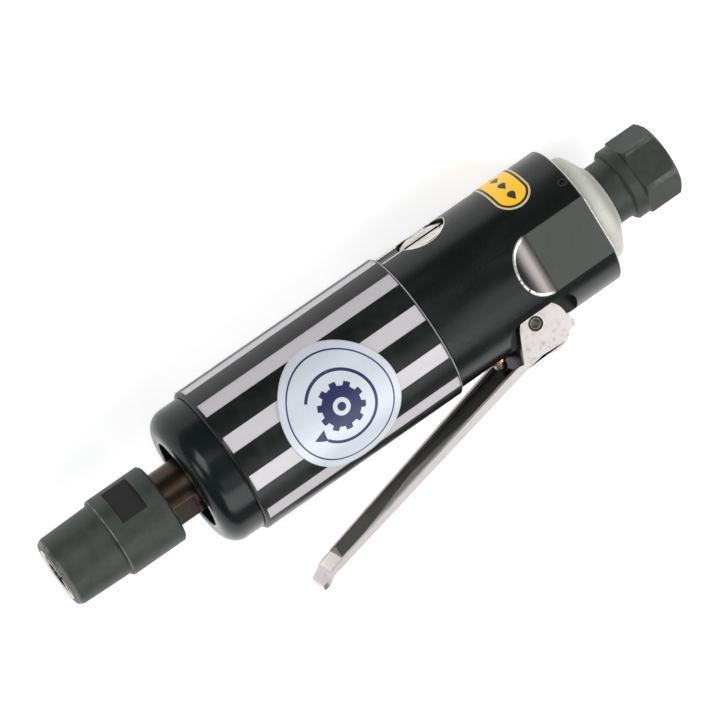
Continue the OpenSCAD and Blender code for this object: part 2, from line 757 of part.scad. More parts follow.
module deflector_screw() {
    color([0.5, 0.5, 0.48]) around(lock_screw_turn) translate([-lock_screw_s, 0, 0]) difference() {
        translate([0, -17.0, 0]) rotate([-90, 0, 0]) cylinder(r = lock_screw_r, h = 17.0 - deflector_r);
        translate([0, -18, 0]) rotate([-90, 0, 0]) cylinder(r = 0.75, h = 2.2, $fn = 6);
    }
}

module deflector_washer() {
    color([0.65, 0.65, 0.65]) ring(washer_r, inlet_thread_r + fit, washer_front, washer_rear);
}

module muffler_felt() {
    color([0.55, 0.52, 0.45])
        ring(deflector_r - 1.5, chamber_inner_r + 0.1, chamber_front + 0.6, housing_rear - 0.3);
}

module inlet_bushing() {
    hex_r = inlet_af / 2 / cos(30);
    hex_front = neck_rear + collar_len;
    bore_front = inlet_rear - inlet_thread_len - thread_lead;
    color([0.22, 0.24, 0.22]) difference() {
        union() {
            turned([[0, inlet_front], [inlet_thread_r - 0.6, inlet_front],
                [inlet_thread_r, inlet_front + 0.6], [inlet_thread_r, washer_rear], [neck_r, washer_rear],
                [neck_r, neck_rear - 1.4], [neck_r + 0.15, neck_rear - 0.5], [neck_r + 0.15, neck_rear],
                [inlet_collar_r - 0.5, neck_rear],
                [inlet_collar_r, neck_rear + 0.5], [inlet_collar_r, hex_front - 0.2],
                [inlet_collar_r - 0.2, hex_front], [inlet_collar_r - 0.9, hex_front],
                [inlet_collar_r - 0.9, hex_front + 2], [0, hex_front + 2]]);
            intersection() {
                translate([-inlet_rear, 0, 0]) rotate([0, 90, 0]) rotate([0, 0, 12])
                    cylinder(r = hex_r, h = inlet_rear - hex_front + 0.1, $fn = 6);
                turned([[0, 150], [8.75, 150], [8.75, hex_front], [inlet_collar_r + 0.55, hex_front + 0.5],
                    [inlet_collar_r + 0.55, inlet_rear - 1], [inlet_collar_r - 0.9, inlet_rear],
                    [0, inlet_rear]]);
            }
        }
        turned([[0, inlet_front - cut], [inlet_way_inner_r, inlet_front - cut],
            [inlet_way_inner_r, bore_front - screen_t - 0.1], [screen_r + 0.02, bore_front - screen_t - 0.1],
            [screen_r + 0.02, bore_front], [inlet_bore_r, bore_front],
            [inlet_bore_r, inlet_rear - thread_lead],
            [inlet_bore_r + 1.2, inlet_rear + 0.4], [0, inlet_rear + 0.4]]);
        ring(inlet_thread_r + cut, inlet_thread_r - 1, 129, 131.2);
    }
}

module inlet_o_ring() { color([0.08, 0.08, 0.08]) o_ring_on_axis(inlet_thread_r - 0.48, 0.5, 130.1); }

module inlet_screen() {
    rear = inlet_rear - inlet_thread_len - thread_lead - 0.05;
    color([0.75, 0.72, 0.6]) difference() {
        bar_along(screen_r, rear - screen_t, rear);
        for (k = [0:6]) around(k * 60) bar_along(0.8, rear - cut, rear + cut, k == 6 ? 0 : 2.3);
        for (k = [0:11]) around(k * 30 + 15) bar_along(0.55, rear - cut, rear + cut, 4.2);
    }
}

collet_nut();
collet();
spindle_body();
rotor();
vanes();
front_cap();
dust_shield();
felt_seal();
wave_washer();
outer_race(front_bearing, bearing_front, front_bearing_w);  // front_bearing_outer
inner_race(front_bearing, bearing_front, front_bearing_w);  // front_bearing_inner
balls(front_bearing, front_ball_count, front_bearing_mid);  // front_bearing_balls
cage(front_bearing, front_ball_count, front_bearing_mid);  // front_bearing_cage
front_end_plate();
cylinder_liner();  // cylinder
rear_end_plate();
cylinder_dowel();
outer_race(rear_bearing, rear_bearing_front, rear_bearing_w);  // rear_bearing_outer
inner_race(rear_bearing, rear_bearing_front, rear_bearing_w);  // rear_bearing_inner
balls(rear_bearing, rear_ball_count, rear_bearing_mid);  // rear_bearing_balls
cage(rear_bearing, rear_ball_count, rear_bearing_mid);  // rear_bearing_cage
gasket();
housing();
grip_sleeve();
round_label();
oil_label();
throttle_lever();
pivot_pin();
throttle_pin();
pin_bush();
pin_o_ring();
valve_seat();
valve_head();
valve_spring();
regulator();
regulator_o_ring();
regulator_pin();
exhaust_deflector();
deflector_screw();
deflector_washer();
muffler_felt();
inlet_bushing();
inlet_o_ring();
inlet_screen();
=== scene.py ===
import math

import bpy
from mathutils import Matrix, Vector


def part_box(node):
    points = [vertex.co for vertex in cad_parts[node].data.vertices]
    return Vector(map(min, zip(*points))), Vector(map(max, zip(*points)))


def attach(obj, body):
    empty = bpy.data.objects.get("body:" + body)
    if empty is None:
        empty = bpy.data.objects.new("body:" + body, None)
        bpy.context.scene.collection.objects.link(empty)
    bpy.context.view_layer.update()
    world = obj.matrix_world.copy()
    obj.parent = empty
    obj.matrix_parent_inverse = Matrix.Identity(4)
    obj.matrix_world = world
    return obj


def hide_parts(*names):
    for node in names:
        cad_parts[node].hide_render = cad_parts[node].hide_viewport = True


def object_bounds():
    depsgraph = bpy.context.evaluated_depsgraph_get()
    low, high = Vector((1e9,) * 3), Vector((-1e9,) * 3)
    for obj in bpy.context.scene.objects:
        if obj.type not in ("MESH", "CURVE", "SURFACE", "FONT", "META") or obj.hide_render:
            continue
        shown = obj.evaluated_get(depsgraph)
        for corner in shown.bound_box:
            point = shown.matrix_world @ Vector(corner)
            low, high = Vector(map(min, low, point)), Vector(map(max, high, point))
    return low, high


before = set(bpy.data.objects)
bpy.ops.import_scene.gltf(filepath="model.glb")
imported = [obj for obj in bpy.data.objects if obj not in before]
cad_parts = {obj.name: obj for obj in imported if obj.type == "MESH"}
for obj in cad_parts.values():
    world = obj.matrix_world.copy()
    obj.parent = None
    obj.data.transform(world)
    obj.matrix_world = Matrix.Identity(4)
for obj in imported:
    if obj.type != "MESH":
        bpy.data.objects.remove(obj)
cad_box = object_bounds()
MM = 0.001

# ---------- housing ----------
# The body: an aluminium bar, turned and bored on a lathe, milled for the spanner, the lever's
# two ears and the regulator, then sprayed with a thick semi-gloss black enamel.


class Number:
    """A number in a material. Arithmetic on it adds the Math nodes that work it out."""

    def __init__(self, finish, socket):
        self.finish = finish
        self.socket = socket

    def math(self, operation, *others):
        numbers = dict(enumerate((self, *others)))
        return self.finish.add("ShaderNodeMath", {"operation": operation}, numbers)

    def __add__(self, other):
        return self.math("ADD", other)

    def __sub__(self, other):
        return self.math("SUBTRACT", other)

    def __rsub__(self, other):
        return self.finish.add("ShaderNodeMath", {"operation": "SUBTRACT"}, {0: other, 1: self})

    def __mul__(self, other):
        return self.math("MULTIPLY", other)

    __radd__ = __add__
    __rmul__ = __mul__

    def __abs__(self):
        return self.math("ABSOLUTE")

    def power(self, exponent):
        return self.math("POWER", exponent)

    def larger(self, other):
        return self.math("MAXIMUM", other)

    def rise(self, low, high):
        """0 below low, 1 above high, a smooth slope between; low may be the larger one."""
        return self.finish.add("ShaderNodeMapRange", {"interpolation_type": "SMOOTHSTEP"},
                               {0: self, 1: low, 2: high, 3: 0.0, 4: 1.0})

    def near(self, value, reach):
        """1 at a value, falling to 0 at that reach to either side."""
        return abs(self - value).rise(reach, 0.0)

    def within(self, low, high, soft=0.05):
        """1 between two values and 0 outside them, with soft edges."""
        return self.rise(low - soft, low + soft) * self.rise(high + soft, high - soft)


class Finish:
    """A material on one Principled shader. Its places and sizes are in millimetres."""

    def __init__(self, name, colour, roughness, metallic=0.0, **steady):
        self.material = bpy.data.materials.new(name)
        self.material.use_nodes = True
        self.nodes = self.material.node_tree.nodes
        self.shader = self.nodes["Principled BSDF"]
        self.set("Base Color", (*colour, 1.0))
        self.set("Roughness", roughness)
        self.set("Metallic", metallic)
        for socket, value in steady.items():
            self.set(socket.replace("_", " "), value)
        place = self.add("ShaderNodeTexCoord", {}, {}, "Object")
        self.spot = self.add("ShaderNodeVectorMath", {"operation": "SCALE"},
                             {"Vector": place, "Scale": 1 / MM})
        self.x, self.y, self.z = (self.add("ShaderNodeSeparateXYZ", {}, {0: self.spot}, k)
                                  for k in range(3))
        self.station = 0.0 - self.x
        self.radius = (self.y * self.y + self.z * self.z).power(0.5)

    def add(self, kind, settings, sockets, output=0):
        """A node of a kind: its settings are made first, then its sockets are fed."""
        node = self.nodes.new(kind)
        for key, value in settings.items():
            setattr(node, key, value)
        for key, value in sockets.items():
            self.feed(node.inputs[key], value)
        return Number(self, node.outputs[output])

    def feed(self, socket, value):
        if isinstance(value, Number):
            self.material.node_tree.links.new(value.socket, socket)
        else:
            socket.default_value = value

    def set(self, socket, value):
        self.feed(self.shader.inputs[socket], value)

    def noise(self, lump, detail=3.0, drawn_out=(1, 1, 1)):
        """Noise from 0 to 1 with lumps of that size, drawn out along an axis."""
        place = self.add("ShaderNodeMapping", {}, {"Vector": self.spot,
                                                   "Scale": [1 / d for d in drawn_out]})
        return self.add("ShaderNodeTexNoise", {}, {"Vector": place, "Scale": 1 / lump,
                                                   "Detail": detail, "Roughness": 0.55})

    def pits(self, spacing, size):
        """1 in small scattered pits of that size."""
        cells = self.add("ShaderNodeTexVoronoi", {}, {"Vector": self.spot, "Scale": 1 / spacing})
        return cells.rise(size / spacing, 0.3 * size / spacing)

    def mix(self, mask, one, other):
        """A colour, one where the mask is 0 and the other where it is 1."""
        one, other = ((*c, 1.0) if isinstance(c, tuple) else c for c in (one, other))
        return self.add("ShaderNodeMix", {"data_type": "RGBA"}, {0: mask, 6: one, 7: other}, 2)

    def bump(self, height, depth):
        """Raises the surface by up to that depth where the height is 1."""
        self.set("Normal", self.add("ShaderNodeBump", {}, {"Height": height, "Strength": 1.0,
                                                           "Distance": depth * MM}))


def paint(finish, *things):
    """Puts a finish on pieces and on CAD nodes, in every material slot they have."""
    for thing in things:
        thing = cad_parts[thing] if isinstance(thing, str) else thing
        if not thing.material_slots:
            thing.data.materials.append(finish.material)
        for slot in thing.material_slots:
            slot.material = finish.material


def choose(piece):
    """Selects one piece and nothing else."""
    bpy.ops.object.select_all(action="DESELECT")
    piece.select_set(True)
    bpy.context.view_layer.objects.active = piece


def fresh(name, add, **settings):
    """Adds a primitive with nothing else selected."""
    bpy.ops.object.select_all(action="DESELECT")
    add(**settings)
    bpy.context.object.name = name
    return bpy.context.object


def traced(name, points):
    """Draws a line of edges through points by extruding one vertex, and stays in edit mode."""
    piece = fresh(name, bpy.ops.mesh.primitive_plane_add, size=MM)
    bpy.ops.object.mode_set(mode="EDIT")
    bpy.ops.mesh.select_mode(type="VERT")
    bpy.ops.mesh.merge(type="CENTER")
    bpy.ops.transform.translate(value=points[0])
    for here, there in zip(points, points[1:]):
        step = [b - a for a, b in zip(here, there)]
        bpy.ops.mesh.extrude_region_move(TRANSFORM_OT_translate={"value": step})
    bpy.ops.mesh.select_all(action="SELECT")
    return piece


def spun(name, outline, steps=128):
    """Spins an outline of (radius, station) points round the tool's axis. A station is the
    distance behind the collet's mouth, in millimetres, as in all the turned pieces."""
    piece = traced(name, [(-station * MM, 0, radius * MM) for radius, station in outline])
    bpy.ops.mesh.spin(steps=steps, angle=math.tau, center=(0, 0, 0), axis=(1, 0, 0))
    bpy.ops.mesh.select_all(action="SELECT")
    bpy.ops.mesh.remove_doubles(threshold=0.002 * MM)
    bpy.ops.mesh.normals_make_consistent(inside=False)
    bpy.ops.object.mode_set(mode="OBJECT")
    return piece


def plate(name, outline, low, high, across="Z"):
    """Fills an outline and extrudes it: (x, y) points across Z, or (x, z) points across Y."""
    if across == "Z":
        points, step = [(x * MM, y * MM, low * MM) for x, y in outline], (0, 0, (high - low) * MM)
    else:
        points, step = [(x * MM, low * MM, z * MM) for x, z in outline], (0, (high - low) * MM, 0)
    piece = traced(name, points)
    bpy.ops.mesh.edge_face_add()
    bpy.ops.mesh.extrude_region_move(TRANSFORM_OT_translate={"value": step})
    bpy.ops.mesh.select_all(action="SELECT")
    bpy.ops.mesh.normals_make_consistent(inside=False)
    bpy.ops.object.mode_set(mode="OBJECT")
    return piece


def bar(name, radius, start, end, sides=48):
    """A round bar between two points, or a hexagonal one with 6 sides."""
    start, end = Vector(start) * MM, Vector(end) * MM
    tilt = (end - start).to_track_quat("Z", "Y").to_euler()
    piece = fresh(name, bpy.ops.mesh.primitive_cylinder_add, vertices=sides, radius=radius * MM,
                  depth=(end - start).length, location=(start + end) / 2, rotation=tilt)
    bpy.ops.object.transform_apply(location=True, rotation=True, scale=True)
    return piece


def arc(middle, radius, start, end, points=9):
    """Points round a middle, from one angle to another, in degrees."""
    turns = [math.radians(start + (end - start) * k / (points - 1)) for k in range(points)]
    return [(middle[0] + radius * math.cos(a), middle[1] + radius * math.sin(a)) for a in turns]


def turned_about_axis(piece, degrees):
    """Turns a piece made on the regulator's side (-Y) about the tool's axis; 90 is up (+Z)."""
    piece.rotation_euler = (-math.radians(degrees), 0, 0)
    choose(piece)
    bpy.ops.object.transform_apply(location=False, rotation=True, scale=False)
    return piece


def worked(piece, operation, *tools):
    """Works a piece with boolean tools, which are used up: DIFFERENCE, UNION or INTERSECT."""
    for tool in tools:
        step = piece.modifiers.new("step", "BOOLEAN")
        step.object, step.operation, step.solver = tool, operation, "EXACT"
        choose(piece)
        bpy.ops.object.modifier_apply(modifier="step")
        bpy.data.objects.remove(tool)
    return piece


def softened(piece, width, segments=2, degrees=25):
    """Rounds every sharp edge, and shades the rest smooth without bending its flat faces."""
    edges = piece.modifiers.new("edges", "BEVEL")
    edges.width, edges.segments = width * MM, segments
    edges.limit_method, edges.angle_limit = "ANGLE", math.radians(degrees)
    choose(piece)
    bpy.ops.object.modifier_apply(modifier="edges")
    bpy.ops.object.shade_smooth_by_angle(angle=math.radians(40))
    weights = piece.modifiers.new("weights", "WEIGHTED_NORMAL")
    weights.keep_sharp = True
    bpy.ops.object.modifier_apply(modifier="weights")
    return piece


def fitted(piece, finish, body, slot, *nodes):
    """Paints a finished piece, fixes it to its body and lets it stand for CAD nodes."""
    paint(finish, piece)
    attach(piece, body)
    if nodes:
        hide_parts(*nodes)


def stations_of(node):
    """A CAD node's front and rear stations, in millimetres."""
    low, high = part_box(node)
    return -high.x / MM, -low.x / MM


housing_front, housing_rear = stations_of("housing")
housing_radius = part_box("housing")[1].z / MM
grip_end = stations_of("grip_sleeve")[1]
valve_x = (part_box("throttle_pin")[0].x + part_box("throttle_pin")[1].x) / 2 / MM
pivot_x = (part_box("pivot_pin")[0].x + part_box("pivot_pin")[1].x) / 2 / MM
pivot_y = (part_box("pivot_pin")[0].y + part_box("pivot_pin")[1].y) / 2 / MM
spot_face = -15.2

housing = spun("housing_body", [
    (0, 98.2), (14.5, 98.2), (14.5, housing_front + 6), (15.5, housing_front + 6),
    (15.5, housing_front), (16.8, housing_front), (16.8, grip_end + 0.05),
    (housing_radius - 0.3, grip_end + 0.05), (housing_radius, grip_end + 0.35),
    (housing_radius, housing_rear - 0.5), (housing_radius - 0.5, housing_rear),
    (13.6, housing_rear), (13.6, 136), (9, 136), (9, housing_rear),
    (7.06, housing_rear), (7.06, 122), (0, 122)])
flat_start, flat_height, cutter = 128.2, 15.75, 14.0
for side in (1, -1):
    runout = arc((-flat_start, flat_height + cutter), cutter, 270, 345, 19)
    spanner_flat = [(-150, flat_height), *runout, (-114, 40), (-150, 40)]
    outline = [(x, side * z) for x, z in spanner_flat]
    worked(housing, "DIFFERENCE", plate("spanner_flat", outline, -30, 30, "Y"))
    ear_pocket = [(-131.5, 30), *arc((-127.5, 13.3), 4, 180, 270), *arc((-117, 13.3), 4, 270, 360),
                  (-113, 30)]
    worked(housing, "DIFFERENCE", plate("ear_pocket", ear_pocket, *sorted((side * 5.8, side * 25))))
scallop_y = -(housing_radius + 7.5 - 0.7)
screw_spot = Vector((0, -math.cos(math.radians(46.4)), math.sin(math.radians(46.4))))
screw_at = Vector((-142.4, 0, 0))
worked(housing, "DIFFERENCE",
       bar("regulator_bore", 5.5, (valve_x, -25, 0), (valve_x, 1.2, 0), 64),
       bar("spot_face", 6.3, (valve_x, -25, 0), (valve_x, spot_face, 0), 64),
       bar("bush_hole", 2.63, (valve_x, 0, 0), (valve_x, 25, 0)),
       bar("scallop", 7.5, (1 - grip_end, scallop_y, 0), (valve_x, scallop_y, 0), 64),
       bar("pivot_hole", 1.74, (pivot_x, pivot_y, -25), (pivot_x, pivot_y, 25), 32),
       bar("screw_hole", 1.27, screw_at + screw_spot * 12, screw_at + screw_spot * 20, 32))
softened(housing, 0.16)

enamel = Finish("black_enamel", (0.004, 0.005, 0.0045), 0.28, Specular_IOR_Level=0.3)
peel = enamel.noise(0.8, 2.0)
haze = enamel.noise(7.0, 4.0, (3, 1, 1)).rise(0.40, 0.70)
scuffs = enamel.noise(0.35, 5.0, (9, 1, 1)).rise(0.66, 0.74) * enamel.noise(9.0).rise(0.5, 0.62)
# bare metal on the edges that knocks reach: the curved ends of the flats, the rear rim, and
# the rims of the regulator's spot face and of the scallop that runs to it
on_round = enamel.radius.rise(housing_radius - 0.22, housing_radius - 0.08)
over = (flat_start - enamel.station).larger(0.0)
rise_to_cutter = abs(enamel.z) - (flat_height + cutter)
from_cutter = abs((over * over + rise_to_cutter * rise_to_cutter).power(0.5) - cutter)
curved_end = from_cutter.rise(0.2, 0.06) * over.rise(0.6, 2.0)
rear_rim = (enamel.station.rise(housing_rear - 0.35, housing_rear - 0.2)
            * enamel.radius.rise(15.6, 15.7))
off_scallop = enamel.y - scallop_y
from_scallop = abs((off_scallop * off_scallop + enamel.z * enamel.z).power(0.5) - 7.5)
scallop_rim = from_scallop.rise(0.3, 0.08) * enamel.station.within(grip_end, -valve_x, 0.4)
off_valve = enamel.x - valve_x
from_spot = abs((off_valve * off_valve + enamel.z * enamel.z).power(0.5) - 6.3)
spot_rim = from_spot.rise(0.3, 0.08) * enamel.y.rise(-10, -12)
chipped = enamel.noise(0.9, 4.0).rise(0.30, 0.48)
worn = ((curved_end + (scallop_rim + spot_rim) * 0.9) * on_round * chipped
        + rear_rim * 0.6).math("MINIMUM", 1.0)
# painted reflection: the flats are coloured a lighter grey-green than the round, and a pinkish painted
# highlight runs along the curved run-out of the cutter
flat_sheen = abs(enamel.z).near(flat_height, 0.1) * enamel.station.rise(flat_start - 0.3, flat_start)
run_out_highlight = from_cutter.rise(0.14, 0.06) * over.rise(0.0, 2.3) * over.rise(4.8, 2.4)
black = enamel.mix(haze, (0.0035, 0.0045, 0.004), (0.007, 0.009, 0.0075))
black = enamel.mix(flat_sheen, black, (0.044, 0.051, 0.044))
black = enamel.mix(run_out_highlight * 0.8, black, (0.36, 0.31, 0.30))
enamel.set("Base Color", enamel.mix(worn, enamel.mix(scuffs * 0.15, black, (0.08, 0.08, 0.07)),
                                    (0.80, 0.75, 0.70)))
enamel.set("Metallic", worn)
enamel.set("Roughness", 0.24 + 0.08 * haze + 0.04 * peel + 0.06 * scuffs)
enamel.bump(peel + 0.6 * (1.0 - worn), 0.012)
fitted(housing, enamel, "body", "housing_black", "housing")

# ---------- throttle valve ----------
# A rubber-faced poppet on a steel pin, closed by a coil spring against a nylon seat. The pin
# runs in a turned brass bush, pressed in under the lever, with an O-ring below it.
steel = Finish("bright_pin_steel", (0.56, 0.55, 0.52), 0.25, 1.0)
turning = steel.noise(0.12, 2.0, (1, 12, 1))
steel.set("Roughness", 0.18 + 0.16 * turning)
steel.set("Base Color", steel.mix(steel.noise(1.5, 4.0).rise(0.5, 0.8), (0.58, 0.57, 0.54),
                                  (0.36, 0.34, 0.30)))
paint(steel, "throttle_pin")

brass = Finish("turned_brass", (0.72, 0.36, 0.14), 0.28, 1.0)
tarnish = brass.noise(0.9, 4.0).rise(0.45, 0.75)
brass.set("Base Color", brass.mix(tarnish, (0.78, 0.40, 0.16), (0.42, 0.18, 0.07)))
brass.set("Roughness", 0.22 + 0.25 * tarnish)
paint(brass, "pin_bush")

nitrile = Finish("black_nitrile", (0.014, 0.014, 0.015), 0.55)
bloom = nitrile.noise(0.5, 4.0)
nitrile.set("Base Color", nitrile.mix(bloom, (0.010, 0.010, 0.011), (0.030, 0.030, 0.032)))
nitrile.bump(nitrile.noise(0.08, 2.0), 0.004)
paint(nitrile, "pin_o_ring", "regulator_o_ring", "inlet_o_ring", "valve_head")

nylon = Finish("natural_nylon", (0.66, 0.60, 0.45), 0.4, Subsurface_Weight=0.1)
nylon.set("Base Color", nylon.mix(nylon.noise(1.2), (0.70, 0.65, 0.50), (0.58, 0.51, 0.36)))
paint(nylon, "valve_seat")

wire = Finish("spring_steel", (0.42, 0.42, 0.43), 0.3, 1.0)
wire.set("Roughness", 0.22 + 0.2 * wire.noise(0.3, 3.0))
wire.set("Base Color", wire.mix(wire.noise(1.0, 3.0), (0.48, 0.48, 0.49), (0.30, 0.29, 0.28)))
paint(wire, "valve_spring", "wave_washer", "deflector_washer")

# ---------- regulator ----------
# A steel plug turned from bar, with a coin slot across its face. Turning it a quarter
# moves its window off the air passage; an O-ring seals it and a cross pin keeps it in.
face, barrel, head, wall = -16.35, 5.44, 5.85, 1.2
regulator = spun("regulator_plug", [
    (0, 13), (barrel - wall, 13), (barrel - wall, 0.05), (barrel, 0.05), (barrel, 15.25),
    (head, 15.25), (head, -face), (head - 0.9, -face), (head - 1.1, 0.14 - face - 0.3),
    (head - 1.3, -face), (0, -face)], 96)
regulator.rotation_euler = (0, 0, math.radians(90))
regulator.location = (valve_x * MM, 0, 0)
choose(regulator)
bpy.ops.object.transform_apply(location=True, rotation=True, scale=True)
worked(regulator, "DIFFERENCE",
       plate("coin_slot", [(valve_x - 9, -0.7), (valve_x + 9, -0.7), (valve_x + 9, 0.7),
                           (valve_x - 9, 0.7)], face - 1, face + 0.9, "Y"),
       bar("air_window", 2.4, (valve_x, -4.5, 0), (valve_x - 10, -4.5, 0), 32))
softened(regulator, 0.09)

turned_steel = Finish("turned_steel", (0.60, 0.58, 0.54), 0.28, 1.0)
off_x = turned_steel.x - valve_x
ring_radius = (off_x * off_x + turned_steel.z * turned_steel.z).power(0.5)
tool_marks = (ring_radius * (math.tau / 0.22)).math("SINE") * 0.5 + 0.5
dull = turned_steel.noise(1.6, 4.0).rise(0.45, 0.75)
plug = turned_steel.mix(dull, (0.66, 0.64, 0.60), (0.42, 0.38, 0.33))
# painted shade: the coin slot is coloured near black, darker than the plug
coin_slot_shade = abs(turned_steel.z).rise(0.78, 0.70) * turned_steel.y.rise(face + 0.05, face + 0.25)
turned_steel.set("Base Color", turned_steel.mix(coin_slot_shade, plug, (0.03, 0.028, 0.025)))
turned_steel.set("Roughness", 0.22 + 0.16 * dull + 0.06 * tool_marks)
turned_steel.bump(tool_marks, 0.004)
fitted(regulator, turned_steel, "regulator", "regulator_steel", "regulator")
paint(steel, "regulator_pin")

# ---------- motor ----------
# The vane motor: a ground steel cylinder between two end plates, a slotted rotor with
# phenolic vanes, ball bearings, a fibre gasket and a dowel that keeps the stack in line.
ground = Finish("ground_steel", (0.42, 0.42, 0.41), 0.28, 1.0)
grinding = ground.noise(0.1, 2.0, (1, 14, 14))
stain = ground.noise(4.0, 4.0).rise(0.5, 0.75)
ground.set("Base Color", ground.mix(stain, (0.46, 0.46, 0.45), (0.26, 0.24, 0.21)))
ground.set("Roughness", 0.2 + 0.2 * grinding)
ground.bump(grinding, 0.003)
paint(ground, "cylinder", "front_end_plate", "rear_end_plate", "rotor", "cylinder_dowel")

polished = Finish("bearing_steel", (0.62, 0.62, 0.62), 0.12, 1.0)
polished.set("Roughness", 0.08 + 0.12 * polished.noise(0.4, 3.0))
paint(polished, "front_bearing_outer", "front_bearing_inner", "front_bearing_balls",
      "rear_bearing_outer", "rear_bearing_inner", "rear_bearing_balls")
paint(brass, "front_bearing_cage", "rear_bearing_cage")

laminate = Finish("phenolic_laminate", (0.20, 0.09, 0.035), 0.5)
layers = laminate.noise(0.2, 3.0, (20, 20, 1))
laminate.set("Base Color", laminate.mix(layers, (0.26, 0.12, 0.05), (0.12, 0.05, 0.02)))
paint(laminate, "vanes")

fibre = Finish("gasket_fibre", (0.10, 0.16, 0.12), 0.85)
fibre.set("Base Color", fibre.mix(fibre.noise(0.25, 4.0), (0.07, 0.12, 0.09), (0.16, 0.22, 0.17)))
paint(fibre, "gasket")

# ---------- spindle ----------
# Hardened steel, ground all over, with two flats for a spanner. Handling and grinding dust
# have browned it between the nut and the cap.
nose_front, hub_rear = stations_of("spindle_body")
collar = 6.85
spindle = spun("spindle_shaft", [
    (5.4, nose_front), (6.4, nose_front), (6.9, nose_front + 0.5), (6.9, 24), (6.5, 24.4),
    (6.5, 25.4), (collar, 25.8), (collar, 41), (6.5, 41.3), (6.5, hub_rear), (4.75, hub_rear),
    (4.75, 31.1), (3.6, 31.1), (3.6, 22.6), (4.37, 22.6), (5.4, nose_front)], 96)
for side in (1, -1):
    flat = plate("flat", [(-34.8, -9), (-29.2, -9), (-29.2, 9), (-34.8, 9)],
                 *sorted((side * 6, side * 12)), "Y")
    worked(spindle, "DIFFERENCE", turned_about_axis(flat, 127))
softened(spindle, 0.14)

browned = Finish("browned_steel", (0.08, 0.06, 0.05), 0.3, 1.0)
rings = browned.noise(0.1, 2.0, (1, 30, 30))
heat = browned.noise(3.0, 3.0, (0.4, 2, 2))
browned.set("Base Color", browned.mix(heat.rise(0.35, 0.65), (0.040, 0.037, 0.033), (0.055, 0.030, 0.015)))
browned.set("Roughness", 0.24 + 0.10 * rings)
browned.bump(rings, 0.003)
fitted(spindle, browned, "spindle", "spindle_steel", "spindle_body")

# ---------- front cap ----------
# Turned aluminium in gloss black, screwed into the housing over the front bearing. Its
# face is hollowed round the spindle, where a pressed shield and a felt ring keep dust out.
cap_front, cap_rear = stations_of("front_cap")
cap_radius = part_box("front_cap")[1].z / MM
shoulder = 4.55
cap = spun("front_cap_shell", [
    (7.05, 39.3), (7.05, cap_front + 7.0), (12, cap_front + 7.0), (12, cap_rear),
    (15.45, cap_rear), (15.45, housing_front), (cap_radius, housing_front),
    *arc((cap_radius - shoulder, cap_front + shoulder), shoulder, 0, -90, 17),
    (11.35, cap_front), (11.1, cap_front + 0.25), (11.1, 39.3), (7.05, 39.3)])
softened(cap, 0.12)

gloss = Finish("gloss_black", (0.004, 0.006, 0.006), 0.2, Specular_IOR_Level=0.22)
swirl = gloss.noise(0.25, 4.0, (1, 8, 8)).rise(0.62, 0.72) * gloss.noise(6.0).rise(0.45, 0.6)
smear = gloss.noise(5.0, 3.0)
# painted highlight: a pale blue-grey line round the edge of the face, broken up by noise
rim = gloss.station.rise(cap_front + 0.5, cap_front + 0.1) * gloss.radius.rise(11.9, 11.3)
rim_highlight = rim * gloss.noise(0.7).rise(0.35, 0.5)
gloss.set("Base Color", gloss.mix(rim_highlight, gloss.mix(smear, (0.003, 0.005, 0.005),
                                                        (0.008, 0.011, 0.011)), (0.42, 0.44, 0.46)))
gloss.set("Roughness", 0.16 + 0.10 * smear + 0.15 * swirl)
gloss.bump(gloss.noise(1.1, 2.0), 0.008)
fitted(cap, gloss, "body", "cap_black", "front_cap")
paint(gloss, "dust_shield")

wool = Finish("grey_felt", (0.34, 0.30, 0.25), 0.95, Sheen_Weight=0.4)
tufts = wool.noise(0.25, 5.0, (1, 3, 1))
wool.set("Base Color", wool.mix(tufts, (0.26, 0.23, 0.19), (0.45, 0.41, 0.35)))
wool.bump(tufts, 0.12)
paint(wool, "felt_seal", "muffler_felt")

# ---------- collet and nut ----------
# The nut is machined from bar, phosphated dark grey-green, with two slots for a spanner.
# It pulls a slit spring-steel collet into the spindle's taper.
nut_front, nut_rear = stations_of("collet_nut")
nut_step, front_r, rear_r = 14.0, 9.05, 9.9
nut = spun("nut_body", [
    (5.0, 1.1), (6.15, nut_front + 0.15), (6.35, nut_front), (7.45, nut_front), (8.05, 0.2),
    (8.5, 0.75), (8.75, 1.6), (front_r, nut_step - 0.35), (front_r + 0.1, nut_step - 0.1),
    (rear_r - 0.4, nut_step), (rear_r, nut_step + 0.4), (rear_r, nut_rear - 0.55),
    (rear_r - 0.55, nut_rear), (7.3, nut_rear), (6.98, nut_rear - 0.4), (6.98, 4.6),
    (5.75, 4.6), (5.75, 3.65), (5.0, 2.35), (5.0, 1.1)], 112)
slot_middle, slot_half, corner = 21.0, 3.3, 0.7
reach = 6.0
slot_outline = [
    *arc((-slot_middle + slot_half - corner, reach - corner), corner, 0, 90, 5),
    *arc((-slot_middle - slot_half + corner, reach - corner), corner, 90, 180, 5),
    *arc((-slot_middle - slot_half + corner, corner - reach), corner, 180, 270, 5),
    *arc((-slot_middle + slot_half - corner, corner - reach), corner, 270, 360, 5)]
for side in (1, -1):
    slot = plate("spanner_slot", slot_outline, *sorted((side * 8.5, side * 14)), "Y")
    worked(nut, "DIFFERENCE", turned_about_axis(slot, 37))
softened(nut, 0.16)

phosphate = Finish("phosphated_steel", (0.030, 0.038, 0.032), 0.5, 0.2, Specular_IOR_Level=0.4)
crystals = phosphate.noise(0.16, 4.0)
lathe_rings = phosphate.noise(0.16, 2.0, (1, 40, 40))
patches = phosphate.noise(3.2, 4.0).rise(0.38, 0.68)
